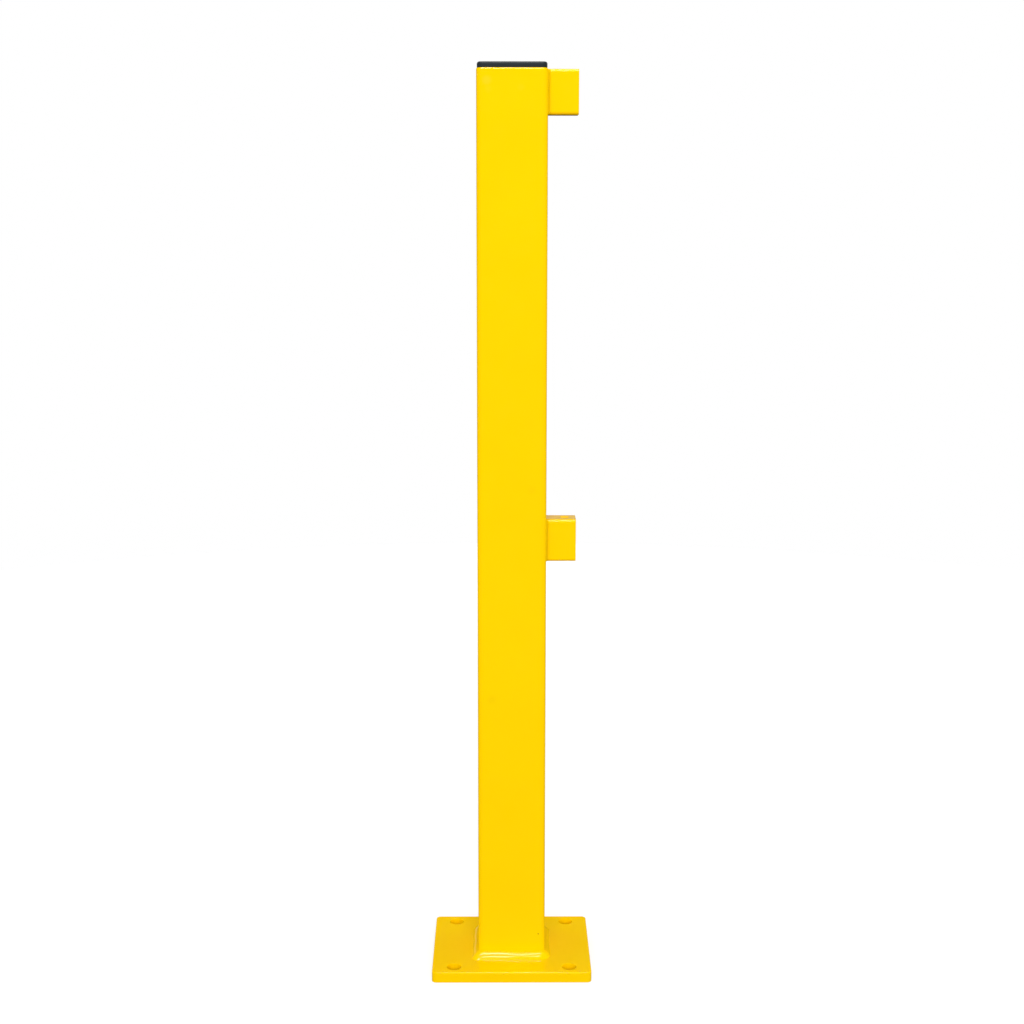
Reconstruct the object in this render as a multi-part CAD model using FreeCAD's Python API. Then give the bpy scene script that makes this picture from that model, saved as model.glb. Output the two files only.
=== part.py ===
"""Safety railing end post.

A square tube stands on a bolted base plate and is closed by a push-in plastic cap.
Two short rectangular spigots on its right-hand side carry the ends of the top and middle rails.
Millimetres, +Z up, origin on the floor at the middle of the base plate, spigots along +X.
"""
import FreeCAD
import Part
import math
import os

from FreeCAD import Vector

# Overall height, from the floor to the top of the cap
overall_height = 1000.0

# Post: square hollow section
post_side = 75.0
post_wall = 3.0
post_corner_radius = 6.0

# Base plate, with four anchor holes set in from its edges
base_width = 178.0
base_depth = 154.0
base_thickness = 12.0
base_corner_radius = 5.0
base_arris_radius = 1.0
anchor_hole_diameter = 16.0
anchor_from_ends = 24.5
anchor_from_sides = 15.0

# Rail spigots: rectangular hollow section, the upper one level with the rim of the post
spigot_height = 47.0
spigot_depth = 30.0
spigot_wall = 2.5
spigot_corner_radius = 3.5
spigot_length = 33.0
middle_spigot_level = 490.0

# Hole in the top wall of each spigot for the screw that fixes the rail
fixing_hole_diameter = 9.0
fixing_hole_setback = 12.0

# Fillet welds: leg length, and how far the thick bead round the foot stands proud of a flat fillet
foot_weld_leg = 6.5
foot_weld_crown = 0.8
spigot_weld_leg = 3.5

# End cap: a rounded head on the rim, and a ribbed plug that grips the inside of the post
cap_head_height = 6.0
cap_head_inset = 0.8
cap_arris_radius = 2.5
plug_depth = 20.0
plug_wall = 2.0
plug_gap = 1.2
rib_count = 3
rib_thickness = 1.0

# A bend is never tighter than this, however thick the wall inside it
sharpest_corner = 0.4

# Sizes that follow from those above
post_top = overall_height - cap_head_height
post_inside = post_side - 2 * post_wall
post_inner_radius = max(post_corner_radius - post_wall, sharpest_corner)
spigot_inner_radius = max(spigot_corner_radius - spigot_wall, sharpest_corner)
top_spigot_level = post_top - spigot_height / 2
anchor_reach_x = base_width / 2 - anchor_from_ends
anchor_reach_y = base_depth / 2 - anchor_from_sides

UP = Vector(0, 0, 1)
SIDEWAYS = Vector(0, 1, 0)
QUARTER_TURN = 90
HALF_CORNER = 45


def rounded_rectangle(width, depth, radius):
    """A flat face on the XY plane, centred on the origin, with its corners rounded."""
    corner_signs = [(1, 1), (-1, 1), (-1, -1), (1, -1)]
    arcs = []
    for turn, (sign_x, sign_y) in enumerate(corner_signs):
        centre = Vector(sign_x * (width / 2 - radius), sign_y * (depth / 2 - radius), 0)
        points = []
        for step in (0, HALF_CORNER, QUARTER_TURN):
            angle = math.radians(turn * QUARTER_TURN + step)
            points.append(centre + Vector(math.cos(angle), math.sin(angle), 0) * radius)
        arcs.append(points)
    edges = []
    for this, following in zip(arcs, arcs[1:] + arcs[:1]):
        edges.append(Part.Arc(*this).toShape())
        edges.append(Part.makeLine(this[-1], following[0]))
    return Part.Face(Part.Wire(edges))


def rounded_bar(width, depth, radius, length):
    """A rectangular bar with rounded corners, standing on the XY plane."""
    return rounded_rectangle(width, depth, radius).extrude(UP * length)


def hollow_section(width, depth, wall, outer_radius, inner_radius, length):
    """A length of rectangular tube, standing on the XY plane."""
    outside = rounded_bar(width, depth, outer_radius, length)
    inside = rounded_bar(width - 2 * wall, depth - 2 * wall, inner_radius, length)
    return outside.cut(inside)


def lay_along_x(shape):
    """Turns what stands along +Z to lie along +X; its own -X side comes to the top."""
    return shape.rotate(Vector(0, 0, 0), SIDEWAYS, QUARTER_TURN)


def edges_at_height(shape, height):
    """The edges that lie wholly on one level, such as the rim of a top face."""
    tolerance = 1e-6
    level = []
    for edge in shape.Edges:
        box = edge.BoundBox
        if abs(box.ZMin - height) < tolerance and abs(box.ZMax - height) < tolerance:
            level.append(edge)
    return level


def base_plate():
    plate = rounded_bar(base_width, base_depth, base_corner_radius, base_thickness)
    plate = plate.makeFillet(base_arris_radius, edges_at_height(plate, base_thickness))
    for sign_x in (-1, 1):
        for sign_y in (-1, 1):
            centre = Vector(sign_x * anchor_reach_x, sign_y * anchor_reach_y, 0)
            plate = plate.cut(Part.makeCylinder(anchor_hole_diameter / 2, base_thickness, centre))
    return plate


def post_tube():
    length = post_top - base_thickness
    tube = hollow_section(post_side, post_side, post_wall, post_corner_radius, post_inner_radius, length)
    return tube.translate(UP * base_thickness)


def rail_spigot(level):
    """A stub of tube on the post's side, with the fixing hole in its top wall."""
    stub = hollow_section(spigot_height, spigot_depth, spigot_wall,
                          spigot_corner_radius, spigot_inner_radius, spigot_length)
    stub = lay_along_x(stub).translate(Vector(post_side / 2, 0, level))
    hole_place = Vector(post_side / 2 + spigot_length - fixing_hole_setback, 0, level)
    return stub.cut(Part.makeCylinder(fixing_hole_diameter / 2, spigot_height, hole_place, UP))


def fillet_section(reach, leg, crown=0):
    """The section of a fillet weld on the XZ plane, its root at x = reach; a crown makes its face convex."""
    root = Vector(reach, 0, 0)
    outer_toe = Vector(reach + leg, 0, 0)
    upper_toe = Vector(reach, 0, leg)
    bead_face = Part.makeLine(outer_toe, upper_toe)
    if crown:
        swell = leg / 2 + crown * math.sqrt(0.5)
        bead_face = Part.Arc(outer_toe, Vector(reach + swell, 0, swell), upper_toe).toShape()
    return Part.Face(Part.Wire([Part.makeLine(root, outer_toe), bead_face, Part.makeLine(upper_toe, root)]))


def weld_run(section, half_length, pivot_x, end_turn):
    """A weld section run along Y, that turns towards -X at both ends about a pivot on its X axis."""
    run = section.translated(SIDEWAYS * -half_length).extrude(SIDEWAYS * 2 * half_length)
    for sign in (-1, 1):
        pivot = Vector(pivot_x, sign * half_length, 0)
        turned_end = section.translated(SIDEWAYS * sign * half_length).revolve(pivot, UP, sign * end_turn)
        run = run.fuse(turned_end)
    return run.removeSplitter()


def foot_welds():
    """Four runs round the foot; each turns half-way round two corners of the post, where it meets the next."""
    half_length = post_side / 2 - post_corner_radius
    section = fillet_section(post_side / 2, foot_weld_leg, foot_weld_crown)
    run = weld_run(section, half_length, half_length, HALF_CORNER)
    welds = {}
    for turn, side in enumerate(["right", "back", "left", "front"]):
        welded = run.rotated(Vector(0, 0, 0), UP, turn * QUARTER_TURN)
        welds["foot_weld_" + side] = welded.translate(UP * base_thickness)
    return welds


def spigot_welds(spigot, level):
    """A run down the front and the back of a spigot; its top and bottom are not welded."""
    half_length = spigot_height / 2 - spigot_corner_radius
    spigot_side = spigot_depth / 2
    run = weld_run(fillet_section(spigot_side, spigot_weld_leg), half_length, spigot_side, QUARTER_TURN)
    welds = {}
    for turn, side in [(QUARTER_TURN, "back"), (-QUARTER_TURN, "front")]:
        welded = lay_along_x(run.rotated(Vector(0, 0, 0), UP, turn))
        welds[spigot + "_weld_" + side] = welded.translate(Vector(post_side / 2, 0, level))
    return welds


def end_cap():
    head_side = post_side - 2 * cap_head_inset
    head_radius = max(post_corner_radius - cap_head_inset, cap_arris_radius + sharpest_corner)
    head = rounded_bar(head_side, head_side, head_radius, cap_head_height)
    head = head.makeFillet(cap_arris_radius, edges_at_height(head, cap_head_height))

    sleeve_side = post_inside - 2 * plug_gap
    sleeve_radius = max(post_inner_radius - plug_gap, sharpest_corner)
    hollow_radius = max(sleeve_radius - plug_wall, sharpest_corner)
    plug = rounded_bar(sleeve_side, sleeve_side, sleeve_radius, plug_depth)
    rib_pitch = plug_depth / (rib_count + 1)
    for number in range(1, rib_count + 1):
        rib = rounded_bar(post_inside, post_inside, post_inner_radius, rib_thickness)
        plug = plug.fuse(rib.translate(UP * (number * rib_pitch - rib_thickness / 2)))
    hollow_side = sleeve_side - 2 * plug_wall
    plug = plug.cut(rounded_bar(hollow_side, hollow_side, hollow_radius, plug_depth))
    plug.translate(UP * -plug_depth)
    return head.fuse(plug).removeSplitter().translate(UP * post_top)


def build():
    pieces = {
        "base_plate": base_plate(),
        "post_tube": post_tube(),
        "end_cap": end_cap(),
        "top_rail_spigot": rail_spigot(top_spigot_level),
        "middle_rail_spigot": rail_spigot(middle_spigot_level),
    }
    pieces.update(spigot_welds("top_spigot", top_spigot_level))
    pieces.update(spigot_welds("middle_spigot", middle_spigot_level))
    pieces.update(foot_welds())
    os.makedirs("parts", exist_ok=True)
    for name, shape in pieces.items():
        shape.exportStep("parts/" + name + ".step")
        print(name, len(shape.Solids), "solid", round(shape.Volume), "mm3", "valid" if shape.isValid() else "NOT VALID")


build()
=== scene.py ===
# %% [markdown]
# # Safety railing end post
# The object is the end post of a steel safety railing. A square tube stands on a
# bolted base plate, is closed by a black plastic cap, and carries two short
# rectangular spigots that the rails slide over. Everything steel is under one glossy
# coat of yellow powder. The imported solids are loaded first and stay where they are:
# this script gives them their finish, softens their edges as a thick coat does, and
# replaces the plain weld solids with real weld beads.

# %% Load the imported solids
import math

import bmesh
import bpy
from mathutils import Matrix, Vector, noise


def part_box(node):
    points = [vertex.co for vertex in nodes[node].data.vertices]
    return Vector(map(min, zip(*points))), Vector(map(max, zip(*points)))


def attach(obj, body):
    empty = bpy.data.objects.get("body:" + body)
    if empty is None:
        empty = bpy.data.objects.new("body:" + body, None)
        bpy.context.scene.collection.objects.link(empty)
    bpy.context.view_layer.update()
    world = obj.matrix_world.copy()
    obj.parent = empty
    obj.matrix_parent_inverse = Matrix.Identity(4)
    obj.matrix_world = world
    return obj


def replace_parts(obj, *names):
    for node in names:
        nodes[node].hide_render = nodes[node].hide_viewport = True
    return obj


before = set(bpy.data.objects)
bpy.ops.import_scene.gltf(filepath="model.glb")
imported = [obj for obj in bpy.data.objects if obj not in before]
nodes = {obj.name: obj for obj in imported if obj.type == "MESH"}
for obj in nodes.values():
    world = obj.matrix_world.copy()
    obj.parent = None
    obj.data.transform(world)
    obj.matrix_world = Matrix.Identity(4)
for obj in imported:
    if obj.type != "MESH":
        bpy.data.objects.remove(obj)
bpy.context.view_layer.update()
scene = bpy.context.scene
MM = 0.001

print("pieces in the frame:", ", ".join(sorted(nodes)))

# %% [markdown]
# ## Colours and nodes
# A colour picked from a screen is written as sRGB hex, but shaders add light in
# linear values, so one function turns the one into the other. A second small function
# adds a shader node together with its settings and whatever feeds it, which keeps
# each material readable as a list of nodes from the pattern to the surface.

# %% Hex colours and one way to add a node
def linear(hex_colour):
    """An sRGB hex colour such as '#ffd300' as the linear RGBA that shaders use."""
    channels = [int(hex_colour[i:i + 2], 16) / 255 for i in (1, 3, 5)]
    # The sRGB curve is straight close to black and a power above that
    return [c / 12.92 if c <= 0.04045 else ((c + 0.055) / 1.055) ** 2.4 for c in channels] + [1.0]


def add(tree, kind, settings={}, inputs={}):
    """Adds a shader node. Each input is a constant, or the output socket that feeds it."""
    node = tree.nodes.new("ShaderNode" + kind)
    for name, value in settings.items():
        setattr(node, name, value)
    for name, value in inputs.items():
        if isinstance(value, bpy.types.NodeSocket):
            tree.links.new(value, node.inputs[name])
        else:
            node.inputs[name].default_value = value
    return node


def empty_material(name):
    """A material with no nodes yet."""
    material = bpy.data.materials.new(name)
    material.use_nodes = True
    material.node_tree.nodes.clear()
    return material


WHITE = linear("#ffffff")
print("the middle grey of a screen in linear light:", round(linear("#808080")[0], 3))

# %% [markdown]
# ## Camera
# The post was photographed from a little under two metres away, with the camera
# above mid-height and tipped down, so its verticals draw together slightly towards
# the foot. The place and tilt come from fitting the solids' edges to the photograph
# with the optical axis at the middle of the picture, so no lens shift is needed.

# %% Place the camera
IMAGE_SIDE = 1024
SENSOR_MM = 36.0
FOCAL_PIXELS = 1744.0
CAMERA_PLACE = Vector((-9.3, -1895.1, 865.1)) * MM
# These three are in degrees
CAMERA_PITCH_DOWN = 10.344
CAMERA_YAW = -0.292
CAMERA_ROLL = 0.042

camera_data = bpy.data.cameras.new("photo_camera")
camera_data.sensor_width = SENSOR_MM
camera_data.lens = FOCAL_PIXELS / IMAGE_SIDE * SENSOR_MM
camera = bpy.data.objects.new("photo_camera", camera_data)
camera.location = CAMERA_PLACE
turn = Matrix.Rotation(math.radians(CAMERA_YAW), 4, "Z")
tilt = Matrix.Rotation(math.radians(90 - CAMERA_PITCH_DOWN), 4, "X")
roll = Matrix.Rotation(math.radians(CAMERA_ROLL), 4, "Z")
camera.rotation_euler = (turn @ tilt @ roll).to_euler()
scene.collection.objects.link(camera)
scene.camera = camera


def pixel_of(point):
    """Where a point of the frame falls in the square picture, from its top left corner."""
    bpy.context.view_layer.update()
    seen = camera.matrix_world.inverted() @ Vector(point)
    half = IMAGE_SIDE / 2
    return half + FOCAL_PIXELS * seen.x / -seen.z, half - FOCAL_PIXELS * seen.y / -seen.z


print("lens, mm:", round(camera_data.lens, 2))
print("middle of the foot falls at pixel", [round(c, 1) for c in pixel_of((0, 0, 0))])

# %% [markdown]
# ## Floor and world
# The photograph is a cut-out on white. The floor is a pale disc that shows white to
# the camera and still takes the shadow, because only part of its white is light of
# its own. The world looks white to the camera and in reflections, but gives the coat
# only a dim even light. A bright world alone would be simpler, but it would light
# every side alike. Lamps do the rest, so that colours come out as written.

# %% White floor
RIM_POINTS = 96
FLOOR_RADIUS = 2.4
FLOOR_OWN_WHITE = 0.66
# The first grey sends light back up to the post, and the second is the one that is seen
PAPER_GREY = "#a0a0a0"
SHADOW_TAKING_GREY = "#a6a6a6"


def disc(name, radius, height):
    """A flat round sheet that belongs to the studio and not to the post."""
    turns = [2 * math.pi * i / RIM_POINTS for i in range(RIM_POINTS)]
    mesh = bpy.data.meshes.new(name)
    mesh.from_pydata([(radius * math.cos(t), radius * math.sin(t), height) for t in turns],
                     [], [range(RIM_POINTS)])
    sheet = bpy.data.objects.new(name, mesh)
    scene.collection.objects.link(sheet)
    return sheet


def seen_directly(tree):
    """1 for a ray from the camera, a mirror or glass, and 0 for light that falls on things."""
    ray = add(tree, "LightPath")
    seen = add(tree, "Math", {"operation": "MAXIMUM"},
               {0: ray.outputs["Is Camera Ray"], 1: ray.outputs["Is Glossy Ray"]})
    seen = add(tree, "Math", {"operation": "MAXIMUM"},
               {0: seen.outputs[0], 1: ray.outputs["Is Transmission Ray"]})
    return seen.outputs[0]


white_paper = empty_material("white_paper")
white_paper.cycles.emission_sampling = "NONE"
tree = white_paper.node_tree
paper = add(tree, "BsdfDiffuse", {}, {"Color": linear(PAPER_GREY)})
shaded = add(tree, "BsdfDiffuse", {}, {"Color": linear(SHADOW_TAKING_GREY)})
own_white = add(tree, "Emission", {}, {"Color": WHITE, "Strength": FLOOR_OWN_WHITE})
pale = add(tree, "AddShader", {}, {0: shaded.outputs[0], 1: own_white.outputs[0]})
choice = add(tree, "MixShader", {},
             {0: seen_directly(tree), 1: paper.outputs[0], 2: pale.outputs[0]})
add(tree, "OutputMaterial", {}, {"Surface": choice.outputs[0]})
disc("studio_floor", FLOOR_RADIUS, 0).data.materials.append(white_paper)
print("floor radius, m:", FLOOR_RADIUS)

# %% Dim even world that looks white
WORLD_LIGHT = 0.39
WORLD_WHITE = 1.0

world = bpy.data.worlds.new("white_studio")
scene.world = world
world.cycles.sampling_method = "NONE"
world.use_nodes = True
tree = world.node_tree
tree.nodes.clear()
dim = add(tree, "Background", {}, {"Color": WHITE, "Strength": WORLD_LIGHT})
bright = add(tree, "Background", {}, {"Color": WHITE, "Strength": WORLD_WHITE})
choice = add(tree, "MixShader", {},
             {0: seen_directly(tree), 1: dim.outputs[0], 2: bright.outputs[0]})
add(tree, "OutputWorld", {}, {"Surface": choice.outputs[0]})
print("even light from the world:", WORLD_LIGHT)

# %% [markdown]
# ## Felt and lamps
# A glossy coat shows its colour only where it mirrors something dark, so a
# photographer lays and hangs black felt round the set and leaves only the softboxes
# to be mirrored. Here the felt is seen by reflections alone and takes no light away.
# Grey cards stay bare: one hangs behind, where the flat tops of the spigots mirror it
# at a glancing angle, and one lies on the floor and one stands beyond it for the left
# side of the weld. The fill lamps aren't mirrored, like light through a crossed
# polariser. The front pair stands far off, so that its light is nearly the same from the
# foot to the top, and the weaker ones at the sides and behind only lift the shade there.

# %% Sheets that only reflections see
def shade_in_reflections(sheet, shade):
    """Makes a sheet of the studio a plain shade that only reflections see."""
    sheet.visible_camera = False
    sheet.visible_diffuse = False
    sheet.visible_transmission = False
    sheet.visible_shadow = False
    material = empty_material(sheet.name)
    material.cycles.emission_sampling = "NONE"
    tree = material.node_tree
    emission = add(tree, "Emission", {}, {"Color": WHITE, "Strength": shade})
    add(tree, "OutputMaterial", {}, {"Surface": emission.outputs[0]})
    sheet.data.materials.append(material)


def ring_sheet(name, between, inner, outer):
    """Part of a ring round the post.

    It runs between two turns from +X, in degrees, and from one pair of radius and
    height to another, in metres.
    """
    start, stop = between
    turns = [math.radians(start + (stop - start) * i / RIM_POINTS)
             for i in range(RIM_POINTS + 1)]
    points = [(radius * math.cos(t), radius * math.sin(t), height)
              for t in turns for radius, height in (inner, outer)]
    faces = [(2 * i, 2 * i + 2, 2 * i + 3, 2 * i + 1) for i in range(RIM_POINTS)]
    mesh = bpy.data.meshes.new(name)
    mesh.from_pydata(points, [], faces)
    sheet = bpy.data.objects.new(name, mesh)
    scene.collection.objects.link(sheet)
    return sheet


print("steps round a sheet:", RIM_POINTS)

# %% Felt and grey cards
# Sizes are in metres, turns from +X in degrees, and a shade of 1 is white
FELT_RADIUS = 3.6
FELT_BOTTOM = -1.5
FELT_TOP = 3.3
FELT_SHADE = 0.015
FELT_OVER_FLOOR = 0.0005
ALL_ROUND = (0, 360)

CARD_SHADE = 0.4
CARD_OVER_FELT = 0.0005
BACK_CARD_RADIUS = 0.98 * FELT_RADIUS
BACK_CARD_BETWEEN = (80, 100)
BACK_CARD_BOTTOM = 0.95
BACK_CARD_TOP = 1.27
LEFT_CARD_BETWEEN = (100, 128)
LEFT_CARD_INNER_RADIUS = 0.12
LEFT_CARD_TOP = 0.15

felt_wall = ring_sheet("felt_wall", ALL_ROUND,
                       (FELT_RADIUS, FELT_BOTTOM), (FELT_RADIUS, FELT_TOP))
card_behind = ring_sheet("card_behind", BACK_CARD_BETWEEN,
                         (BACK_CARD_RADIUS, BACK_CARD_BOTTOM), (BACK_CARD_RADIUS, BACK_CARD_TOP))
card_height = FELT_OVER_FLOOR + CARD_OVER_FELT
card_on_floor = ring_sheet("card_on_floor", LEFT_CARD_BETWEEN,
                           (LEFT_CARD_INNER_RADIUS, card_height), (FLOOR_RADIUS, card_height))
card_beyond = ring_sheet("card_beyond", LEFT_CARD_BETWEEN,
                         (FLOOR_RADIUS, card_height), (FLOOR_RADIUS, LEFT_CARD_TOP))
for sheet in (felt_wall, disc("felt_ceiling", FELT_RADIUS, FELT_TOP),
              disc("felt_on_floor", FLOOR_RADIUS, FELT_OVER_FLOOR)):
    shade_in_reflections(sheet, FELT_SHADE)
for sheet in (card_behind, card_on_floor, card_beyond):
    shade_in_reflections(sheet, CARD_SHADE)
print("felt shade", FELT_SHADE, "and card shade", CARD_SHADE)

# %% Soft lamps
LAMP_AIM = Vector((0, 0, 0.5))
# Each lamp's name, its place, width and height in metres, the brightness of its face,
# where white paper is 1, and whether it is mirrored
LAMPS = [
    ("right_front_fill", (1.1, -7.3, 2.9), 1.6, 2.4, 20.5, False),
    ("left_front_fill", (-1.1, -7.3, 2.9), 1.6, 2.4, 13.8, False),
    ("left_fill", (-3.2, 1.2, 0.6), 1.6, 1.2, 6, False),
    ("right_fill", (3.2, 1.2, 0.6), 1.6, 1.2, 6, False),
    ("back_fill", (0.0, 3.3, 1.0), 1.6, 1.6, 4.5, False),
    ("high_front_softbox", (0.0, -1.75, 2.6), 0.8, 0.28, 16, True),
    ("overhead_softbox", (0.0, -0.08, 2.9), 0.8, 0.5, 13, True),
]


def soft_lamp(name, place, width, height, brightness, mirrored):
    """A softbox turned to the post, with the power that gives its face this brightness."""
    data = bpy.data.lights.new(name, "AREA")
    data.shape = "RECTANGLE"
    data.size = width
    data.size_y = height
    data.energy = brightness * math.pi * width * height
    lamp = bpy.data.objects.new(name, data)
    lamp.location = place
    lamp.rotation_euler = (LAMP_AIM - Vector(place)).to_track_quat("-Z", "Y").to_euler()
    lamp.visible_camera = False
    lamp.visible_glossy = mirrored
    scene.collection.objects.link(lamp)
    print(name, round(data.energy, 1), "W")


for lamp in LAMPS:
    soft_lamp(*lamp)
scene.view_settings.view_transform = "Standard"

# %% [markdown]
# ## Polyester powder coat
# The yellow is dry polyester powder, sprayed on with static charge and melted in an
# oven. It flows out into a thick glossy film: colour all the way to the edge, a faint
# orange-peel ripple two or three millimetres across, slight clouds where the film is
# thicker, and here and there a nib or a smear left by handling. The ripple could be
# modelled, but at a hundredth of a millimetre it only ever shows in the gloss, so it is
# a bump. The clouds are a mix of two yellows, and the marks are spots laid over them.

# %% Marks on the front of the post
SPECK_COLOUR = "#6a5408"
SMEAR_COLOUR = "#fad022"
THIN_SMEAR_COLOUR = "#fad010"
STAIN_COLOUR = "#f5cb03"
# Each mark is where it lies on the front, in mm across and up, its radius and its colour
MARKS = [
    (30.2, 40.3, 1.2, SPECK_COLOUR),
    (-26.3, 981.0, 6.5, SMEAR_COLOUR),
    (-24.7, 971.6, 5.0, THIN_SMEAR_COLOUR),
    (9.2, 973.7, 5.0, THIN_SMEAR_COLOUR),
    (21.8, 550.2, 6.0, STAIN_COLOUR),
    (-22.0, 315.0, 7.0, STAIN_COLOUR),
]
# How much of the coat a mark hides, and the share of its radius over which it hides that
MARK_COVER = 0.7
MARK_CORE = 0.3

# A Mix node has sockets for several kinds of value, and these are the ones for colours
MIX_SHARE, MIX_FIRST, MIX_SECOND, MIX_RESULT = 0, 6, 7, 2


def marked(tree, place, colour):
    """Lays the marks over a colour, each fading out from its core towards its rim."""
    for across, up, radius, mark_colour in MARKS:
        centre = Vector((across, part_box("post_tube")[0].y / MM, up)) * MM
        away = add(tree, "VectorMath", {"operation": "DISTANCE"}, {0: place, 1: centre})
        cover = add(tree, "MapRange", {"interpolation_type": "SMOOTHSTEP"}, {
            "Value": away.outputs["Value"],
            "From Min": MARK_CORE * radius * MM, "From Max": radius * MM,
            "To Min": MARK_COVER, "To Max": 0.0})
        colour = add(tree, "Mix", {"data_type": "RGBA"}, {
            MIX_SHARE: cover.outputs[0], MIX_FIRST: colour,
            MIX_SECOND: linear(mark_colour)}).outputs[MIX_RESULT]
    return colour


print("marks on the front of the post:", len(MARKS))

# %% Powder coat material
COAT_YELLOW = "#ffd300"
COAT_THICK = "#ffcc00"
CLOUD_MM = 70
CLOUD_DETAIL = 3.0
GLOSS_PATCH_MM = 14
GLOSS_PATCH_DETAIL = 4.0
PEEL_MM = 2.4
PEEL_DETAIL = 1.0
PEEL_DEPTH_MM = 0.012
COAT_ROUGHNESS = (0.07, 0.11)
POLYESTER_IOR = 1.5
# Powder runs together in the hollows of a weld, so there the ripple is shallower and the
# gloss a little softer
POOLED_PEEL_DEPTH_MM = 0.003
POOLED_ROUGHNESS = (0.09, 0.12)
# A noise texture seldom goes below or above these
NOISE_LOW, NOISE_HIGH = 0.3, 0.7


def per_metre(size_mm):
    """The texture scale that makes one pattern cell this many millimetres."""
    return 1 / (size_mm * MM)


def powder_coat(name, roughness, peel_depth_mm, with_marks=False):
    """Yellow powder coat with this range of roughness and this depth of orange peel."""
    material = empty_material(name)
    tree = material.node_tree
    place = add(tree, "TexCoord").outputs["Object"]
    clouds = add(tree, "TexNoise", {}, {
        "Vector": place, "Scale": per_metre(CLOUD_MM), "Detail": CLOUD_DETAIL})
    colour = add(tree, "Mix", {"data_type": "RGBA"}, {
        MIX_SHARE: clouds.outputs[0], MIX_FIRST: linear(COAT_THICK),
        MIX_SECOND: linear(COAT_YELLOW)}).outputs[MIX_RESULT]
    if with_marks:
        colour = marked(tree, place, colour)
    patches = add(tree, "TexNoise", {}, {
        "Vector": place, "Scale": per_metre(GLOSS_PATCH_MM), "Detail": GLOSS_PATCH_DETAIL})
    gloss = add(tree, "MapRange", {}, {
        "Value": patches.outputs[0], "From Min": NOISE_LOW, "From Max": NOISE_HIGH,
        "To Min": roughness[0], "To Max": roughness[1]})
    peel = add(tree, "TexNoise", {}, {
        "Vector": place, "Scale": per_metre(PEEL_MM), "Detail": PEEL_DETAIL})
    ripple = add(tree, "Bump", {}, {"Height": peel.outputs[0], "Distance": peel_depth_mm * MM})
    coat = add(tree, "BsdfPrincipled", {}, {
        "Base Color": colour, "Roughness": gloss.outputs[0], "IOR": POLYESTER_IOR,
        "Normal": ripple.outputs[0]})
    add(tree, "OutputMaterial", {}, {"Surface": coat.outputs[0]})
    return material


yellow_coat = powder_coat("polyester_powder_coat", COAT_ROUGHNESS, PEEL_DEPTH_MM)
post_coat = powder_coat("polyester_powder_coat_handled", COAT_ROUGHNESS, PEEL_DEPTH_MM,
                        with_marks=True)
weld_coat = powder_coat("powder_coat_pooled_on_weld", POOLED_ROUGHNESS, POOLED_PEEL_DEPTH_MM)
print("orange peel cells per metre:", round(per_metre(PEEL_MM)))

# %% [markdown]
# ## Coated steel pieces
# The plate, the tube and the spigots are right as they are packed, so they stay.
# Their saw cuts and drilled rims are knife-sharp in the solids, though, while a coat
# a tenth of a millimetre thick over a deburred edge is always a little round, and it
# is those rounds that catch the light. The rim of the post looks filed after sawing, so
# its edge is broader and nearly a flat chamfer. A shader can fake a round edge, but a
# model that leaves Blender would lose it, so a stack of modifiers does this without
# touching the mesh: weld the seams, drop the flat triangles, bevel what is sharp.

# %% Soften the edges and coat the steel
SEAM_GAP_MM = 0.001
FLAT_DEGREES = 0.5
SHARP_DEGREES = 32
# Bevel profiles: 0.5 is a quarter circle and 0.25 a flat chamfer
ROUNDED = 0.5
FILED_FLATTER = 0.28
# Radius of each piece's edges in mm, their profile and the steps it is drawn in
EDGES = {
    "base_plate": (0.5, ROUNDED, 4),
    "post_tube": (1.5, FILED_FLATTER, 8),
    "top_rail_spigot": (0.7, ROUNDED, 4),
    "middle_rail_spigot": (0.7, ROUNDED, 4),
}


def soften_edges(piece, radius_mm, roundness, steps):
    """Modifiers that round every sharp edge of a solid and leave its mesh as it is."""
    seams = piece.modifiers.new("join_seams", "WELD")
    seams.merge_threshold = SEAM_GAP_MM * MM
    flats = piece.modifiers.new("drop_flat_triangles", "DECIMATE")
    flats.decimate_type = "DISSOLVE"
    flats.angle_limit = math.radians(FLAT_DEGREES)
    rounds = piece.modifiers.new("round_sharp_edges", "BEVEL")
    rounds.limit_method = "ANGLE"
    rounds.angle_limit = math.radians(SHARP_DEGREES)
    rounds.width = radius_mm * MM
    rounds.segments = steps
    rounds.profile = roundness
    shading = piece.modifiers.new("even_shading", "WEIGHTED_NORMAL")
    shading.keep_sharp = False


for name, (radius_mm, roundness, steps) in EDGES.items():
    soften_edges(nodes[name], radius_mm, roundness, steps)
    nodes[name].material_slots[0].material = post_coat if name == "post_tube" else yellow_coat
    print(name, "edges rounded to", radius_mm, "mm")

# %% [markdown]
# ## Weld beads
# A fillet weld is laid round the foot by hand in one pass. Its face is a little
# convex, its width wanders, it is fullest where the welder stopped and started again,
# and it piles up at most of the corners. Fine crescents mark each step of the molten
# pool, and the powder pools along both toes. The plain solids have only the fillet, so
# each bead is built here as a mesh. A displaced texture could roughen a plain fillet,
# but it can't move the toes, so a section is swept along the run and changes as it goes.

# %% One section of a bead
FACE_POINTS = 15
TOE_POINTS = 5
# The share of the face that the bend at a toe takes up, and how deep the root lies in the steel
TOE_SHARE = 0.03
SUNK_MM = 0.05


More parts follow.
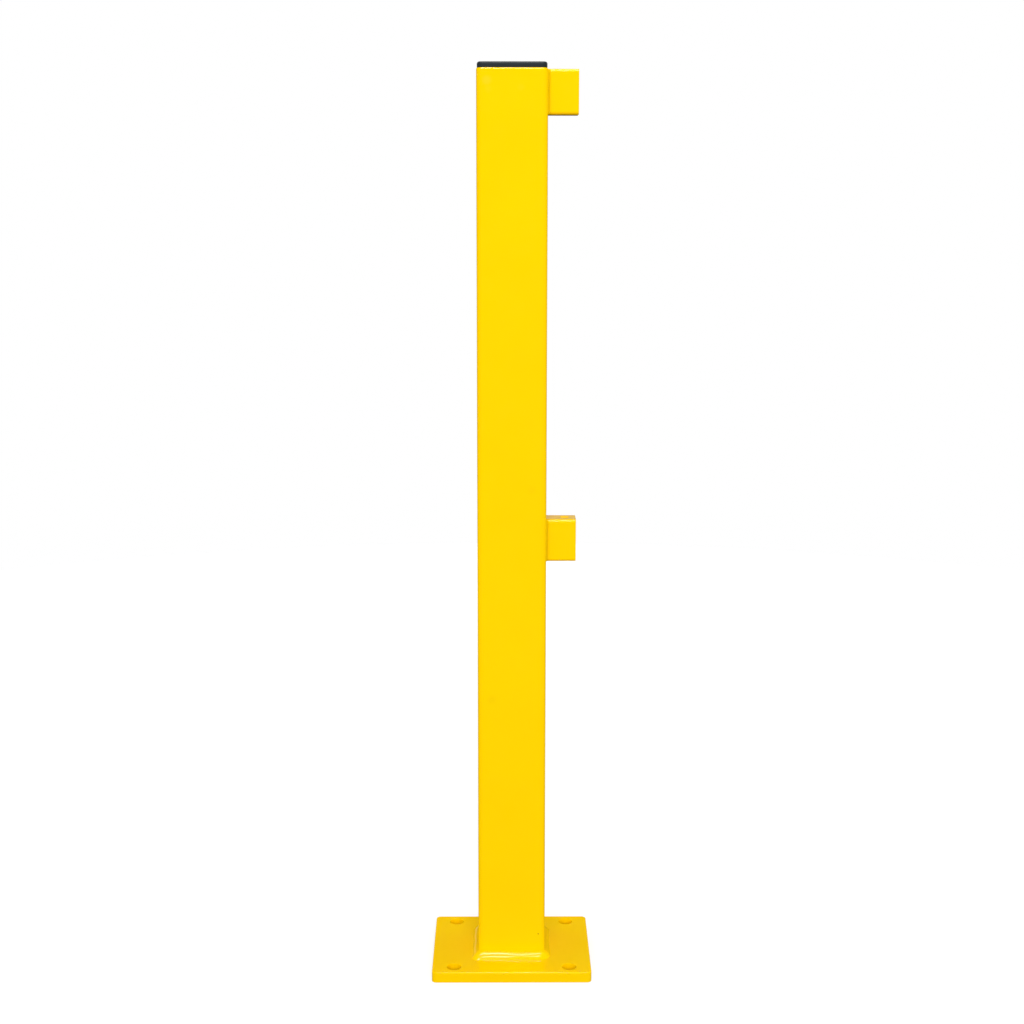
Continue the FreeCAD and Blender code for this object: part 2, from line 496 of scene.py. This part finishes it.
def bead_section(leg_out, leg_up, crown, meniscus):
    """Points (outwards, upwards) in mm: a convex face, and at both toes a meniscus of coat."""
    chord = math.hypot(leg_out, leg_up)

    def on_face(share):
        """A point on the face, this share of the way up from the lower toe."""
        # A parabola that is as high as the crown half-way
        swell = 4 * crown * share * (1 - share)
        return Vector((leg_out * (1 - share) + swell * leg_up / chord,
                       leg_up * share + swell * leg_out / chord))

    def pooled(steel, toe, face):
        """A bend from the steel to the face that stays tangent to both."""
        steps = [i / TOE_POINTS for i in range(TOE_POINTS)]
        return [steel * (1 - t) ** 2 + toe * 2 * t * (1 - t) + face * t ** 2 for t in steps]

    lower = pooled(Vector((leg_out + meniscus, 0)), on_face(0), on_face(TOE_SHARE))
    upper = pooled(Vector((0, leg_up + meniscus)), on_face(1), on_face(1 - TOE_SHARE))
    steps = [TOE_SHARE + (1 - 2 * TOE_SHARE) * i / (FACE_POINTS - 1) for i in range(FACE_POINTS)]
    root = Vector((-SUNK_MM, -SUNK_MM))
    return lower + [on_face(t) for t in steps] + list(reversed(upper)) + [root]


print("points in a section of a bead:", FACE_POINTS + 2 * TOE_POINTS + 1)

# %% Sweep a bead along a run
CREASE_DEGREES = 50


def sweep_bead(name, stations, closed):
    """A mesh through stations in mm.

    Each station is a root point, its outward and upward directions, and a section.
    """
    points, faces = [], []
    for root, outward, upward, section in stations:
        points += [(root + outward * p.x + upward * p.y) * MM for p in section]
    ring = len(section)
    count = len(stations)
    for i in range(count if closed else count - 1):
        here, there = i * ring, (i + 1) % count * ring
        for j in range(ring):
            k = (j + 1) % ring
            faces.append((here + j, there + j, there + k, here + k))
    if not closed:
        faces += [range(ring), range((count - 1) * ring, count * ring)]
    mesh = bpy.data.meshes.new(name)
    mesh.from_pydata(points, [], faces)
    shell = bmesh.new()
    shell.from_mesh(mesh)
    bmesh.ops.recalc_face_normals(shell, faces=shell.faces)
    shell.to_mesh(mesh)
    shell.free()
    mesh.shade_smooth()
    mesh.set_sharp_from_angle(angle=math.radians(CREASE_DEGREES))
    mesh.materials.append(weld_coat)
    bead = bpy.data.objects.new(name, mesh)
    scene.collection.objects.link(bead)
    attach(bead, "root")
    print(name, len(mesh.polygons), "faces")
    return bead


# %% Path round the foot of the post
QUARTER_TURN = math.pi / 2
POST_SIDE_MM = (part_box("post_tube")[1].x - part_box("post_tube")[0].x) / MM
# The outside radius of the tube's corners, which no box in the frame gives
POST_CORNER_MM = 6.0
PLATE_TOP_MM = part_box("base_plate")[1].z / MM
FLAT_MM = POST_SIDE_MM - 2 * POST_CORNER_MM
FOOT_RUN_MM = 4 * FLAT_MM + 2 * math.pi * POST_CORNER_MM
FOOT_STEP_MM = 0.5


def foot_path():
    """Root points from the left end of the front, each with its outward direction."""
    path = []
    for face in range(4):
        heading = QUARTER_TURN * (face - 1)
        across = Vector((math.cos(heading), math.sin(heading), 0))
        onward = Vector((-across.y, across.x, 0))
        steps = round(FLAT_MM / FOOT_STEP_MM)
        for i in range(steps):
            root = across * (POST_SIDE_MM / 2) + onward * FLAT_MM * (i / steps - 0.5)
            path.append((root, across))
        steps = round(POST_CORNER_MM * QUARTER_TURN / FOOT_STEP_MM)
        centre = (across + onward) * (FLAT_MM / 2)
        for i in range(steps):
            angle = QUARTER_TURN * i / steps
            outward = across * math.cos(angle) + onward * math.sin(angle)
            path.append((centre + outward * POST_CORNER_MM, outward))
    return path


print("run round the foot, mm:", round(FOOT_RUN_MM, 1))

# %% How the foot bead changes along its run
# Each size in mm, how far it wanders, the length of its waves in mm and its layer of chance
FOOT_LEG_OUT = (6.6, 0.3, 22, 1)
FOOT_LEG_UP = (6.4, 0.3, 19, 3)
FOOT_CROWN = (0.8, 0.15, 13, 5)
FOOT_MENISCUS = (0.1, 0.04, 9, 8)
# The gain takes the noise to about -1 to 1, and the gap sets its layers apart
WANDER_GAIN = 1.6
LAYER_GAP = 7.3
# Where the bead is thinner or piles up: the place along the run, the length to each side
# over which it fades out, and the change in its reach over the plate
REACH_CHANGES_MM = [
    (104.0, 32.0, -1.1),
    (140.1, 4.7, 2.2),
    (212.5, 4.7, 2.2),
    (285.0, 4.7, 3.8),
]
RESTART_MM = 43.0
RESTART_LENGTH_MM = 11.0
RESTART_CROWN_MM = 0.8
CRESCENT_MM = 2.6
CRESCENT_DEPTH_MM = 0.006


def wandering(along, size, spread, wave_mm, layer):
    """A size that wanders smoothly along the run and closes on itself round the foot."""
    radius = FOOT_RUN_MM / (2 * math.pi * wave_mm)
    turn = 2 * math.pi * along / FOOT_RUN_MM
    place = Vector((radius * math.cos(turn), radius * math.sin(turn), LAYER_GAP * layer))
    return size + spread * (WANDER_GAIN * noise.noise(place))


def foot_section(along):
    """The section of the foot bead this many mm along its run."""
    leg_out = wandering(along, *FOOT_LEG_OUT)
    for place, to_each_side, change in REACH_CHANGES_MM:
        away = min(1.0, abs(along - place) / to_each_side)
        leg_out += change * math.cos(QUARTER_TURN * away) ** 2
    restart = math.exp(-((along - RESTART_MM) / RESTART_LENGTH_MM) ** 2)
    crown = wandering(along, *FOOT_CROWN) + RESTART_CROWN_MM * restart
    crown += CRESCENT_DEPTH_MM * math.sin(2 * math.pi * along / CRESCENT_MM)
    return bead_section(leg_out, wandering(along, *FOOT_LEG_UP), crown,
                        wandering(along, *FOOT_MENISCUS))


print("bead restarts", RESTART_MM, "mm along the front")

# %% The bead round the foot
up = Vector((0, 0, 1))
path = foot_path()
stations = []
for i, (root, outward) in enumerate(path):
    along = FOOT_RUN_MM * i / len(path)
    stations.append((root + up * PLATE_TOP_MM, outward, up, foot_section(along)))
foot_bead = sweep_bead("foot_weld_bead", stations, closed=True)
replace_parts(foot_bead, "foot_weld_front", "foot_weld_back", "foot_weld_left", "foot_weld_right")

# %% [markdown]
# ## Spigot welds
# Each spigot is held by one short run down its front and one down its back. The welder
# starts at the top, so the bead is fullest there and thins out downwards, and both
# ends round off where the arc was struck and broken. A bevelled bar could stand for so
# small a weld, but its ends would be cut off square. The same section is swept again
# instead, and shrinks towards both ends.

# %% Runs down the sides of the spigots
SPIGOT_LEG_OUT_MM = 2.0
SPIGOT_LEG_ALONG_MM = 2.6
SPIGOT_CROWN_MM = 0.3
SPIGOT_MENISCUS_MM = 0.3
SPIGOT_STEP_MM = 0.4
RUN_END_MM = 3.5
THINNEST_END = 0.1
FULLNESS_AT_TOP = 1.05
THINS_OUT_BY = 0.25
# The sizes of a run wander by this share, in waves about this long
RUN_WANDER = 0.2
RUN_WAVE_MM = 8
# Steps through the noise that set the sizes of a run apart, and the runs from each other
RUN_LAYER_GAP = 5.9
SPIGOT_GAP = 3.1
SIDE_GAP = 1.7


def spigot_bead(spigot, side):
    """The weld down one side of a spigot, from the top of its solid to the bottom."""
    node = spigot + "_spigot_weld_" + side
    low, high = (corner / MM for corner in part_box(node))
    outward = Vector((0, -1 if side == "front" else 1, 0))
    along_spigot = Vector((1, 0, 0))
    root_y = high.y if side == "front" else low.y
    length = high.z - low.z
    own_row = SPIGOT_GAP * len(spigot) + SIDE_GAP * len(side)
    steps = round(length / SPIGOT_STEP_MM)
    stations = []
    for i in range(steps + 1):
        down = length * i / steps
        from_end = min(down, length - down) / RUN_END_MM
        rounding = math.sqrt(max(0.0, 1 - (1 - min(1.0, from_end)) ** 2))
        size = THINNEST_END + (1 - THINNEST_END) * rounding
        size *= FULLNESS_AT_TOP - THINS_OUT_BY * down / length
        spots = [Vector((down / RUN_WAVE_MM, own_row, RUN_LAYER_GAP * layer))
                 for layer in (1, 2, 3)]
        width, rise, fullness = (1 + RUN_WANDER * noise.noise(spot) for spot in spots)
        section = bead_section(SPIGOT_LEG_OUT_MM * size * width, SPIGOT_LEG_ALONG_MM * size * rise,
                               SPIGOT_CROWN_MM * size * fullness, SPIGOT_MENISCUS_MM * size)
        root = Vector((low.x, root_y, high.z - down))
        stations.append((root, outward, along_spigot, section))
    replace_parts(sweep_bead(spigot + "_spigot_bead_" + side, stations, closed=False), node)


for spigot in ("top", "middle"):
    for side in ("front", "back"):
        spigot_bead(spigot, side)

# %% [markdown]
# ## Moulded polyethylene cap
# The cap is injection moulded in black polyethylene. The mould was spark eroded, which
# leaves a fine even grain a few tenths of a millimetre across, so the cap is satin:
# dark, with a broad grey sheen on the rounded edge and no sharp reflections. Handling
# adds a faint grey bloom. The grain could be displaced, but it is finer than anything
# the outline shows, so it is a bump, and most of the satin comes from the roughness.

# %% Black plastic
CAP_BLACK = "#23292d"
CAP_GREY = "#2a3136"
# Too fine to show at the photograph's distance, where the roughness stands for it
CAP_GRAIN_MM = 0.35
CAP_GRAIN_DETAIL = 2.0
CAP_GRAIN_DEPTH_MM = 0.006
CAP_BLOOM_MM = 18
CAP_BLOOM_DETAIL = 3.0
CAP_ROUGHNESS = (0.45, 0.55)
POLYETHYLENE_IOR = 1.5

cap_plastic = empty_material("moulded_black_polyethylene")
tree = cap_plastic.node_tree
place = add(tree, "TexCoord").outputs["Object"]
grain = add(tree, "TexNoise", {}, {
    "Vector": place, "Scale": per_metre(CAP_GRAIN_MM), "Detail": CAP_GRAIN_DETAIL})
ripple = add(tree, "Bump", {}, {"Height": grain.outputs[0], "Distance": CAP_GRAIN_DEPTH_MM * MM})
bloom = add(tree, "TexNoise", {}, {
    "Vector": place, "Scale": per_metre(CAP_BLOOM_MM), "Detail": CAP_BLOOM_DETAIL})
satin = add(tree, "MapRange", {}, {
    "Value": bloom.outputs[0], "From Min": NOISE_LOW, "From Max": NOISE_HIGH,
    "To Min": CAP_ROUGHNESS[0], "To Max": CAP_ROUGHNESS[1]})
tone = add(tree, "Mix", {"data_type": "RGBA"}, {
    MIX_SHARE: bloom.outputs[0], MIX_FIRST: linear(CAP_BLACK), MIX_SECOND: linear(CAP_GREY)})
plastic = add(tree, "BsdfPrincipled", {}, {
    "Base Color": tone.outputs[MIX_RESULT], "Roughness": satin.outputs[0],
    "IOR": POLYETHYLENE_IOR, "Normal": ripple.outputs[0]})
add(tree, "OutputMaterial", {}, {"Surface": plastic.outputs[0]})
nodes["end_cap"].material_slots[0].material = cap_plastic
print("cap grain cells per metre:", round(per_metre(CAP_GRAIN_MM)))
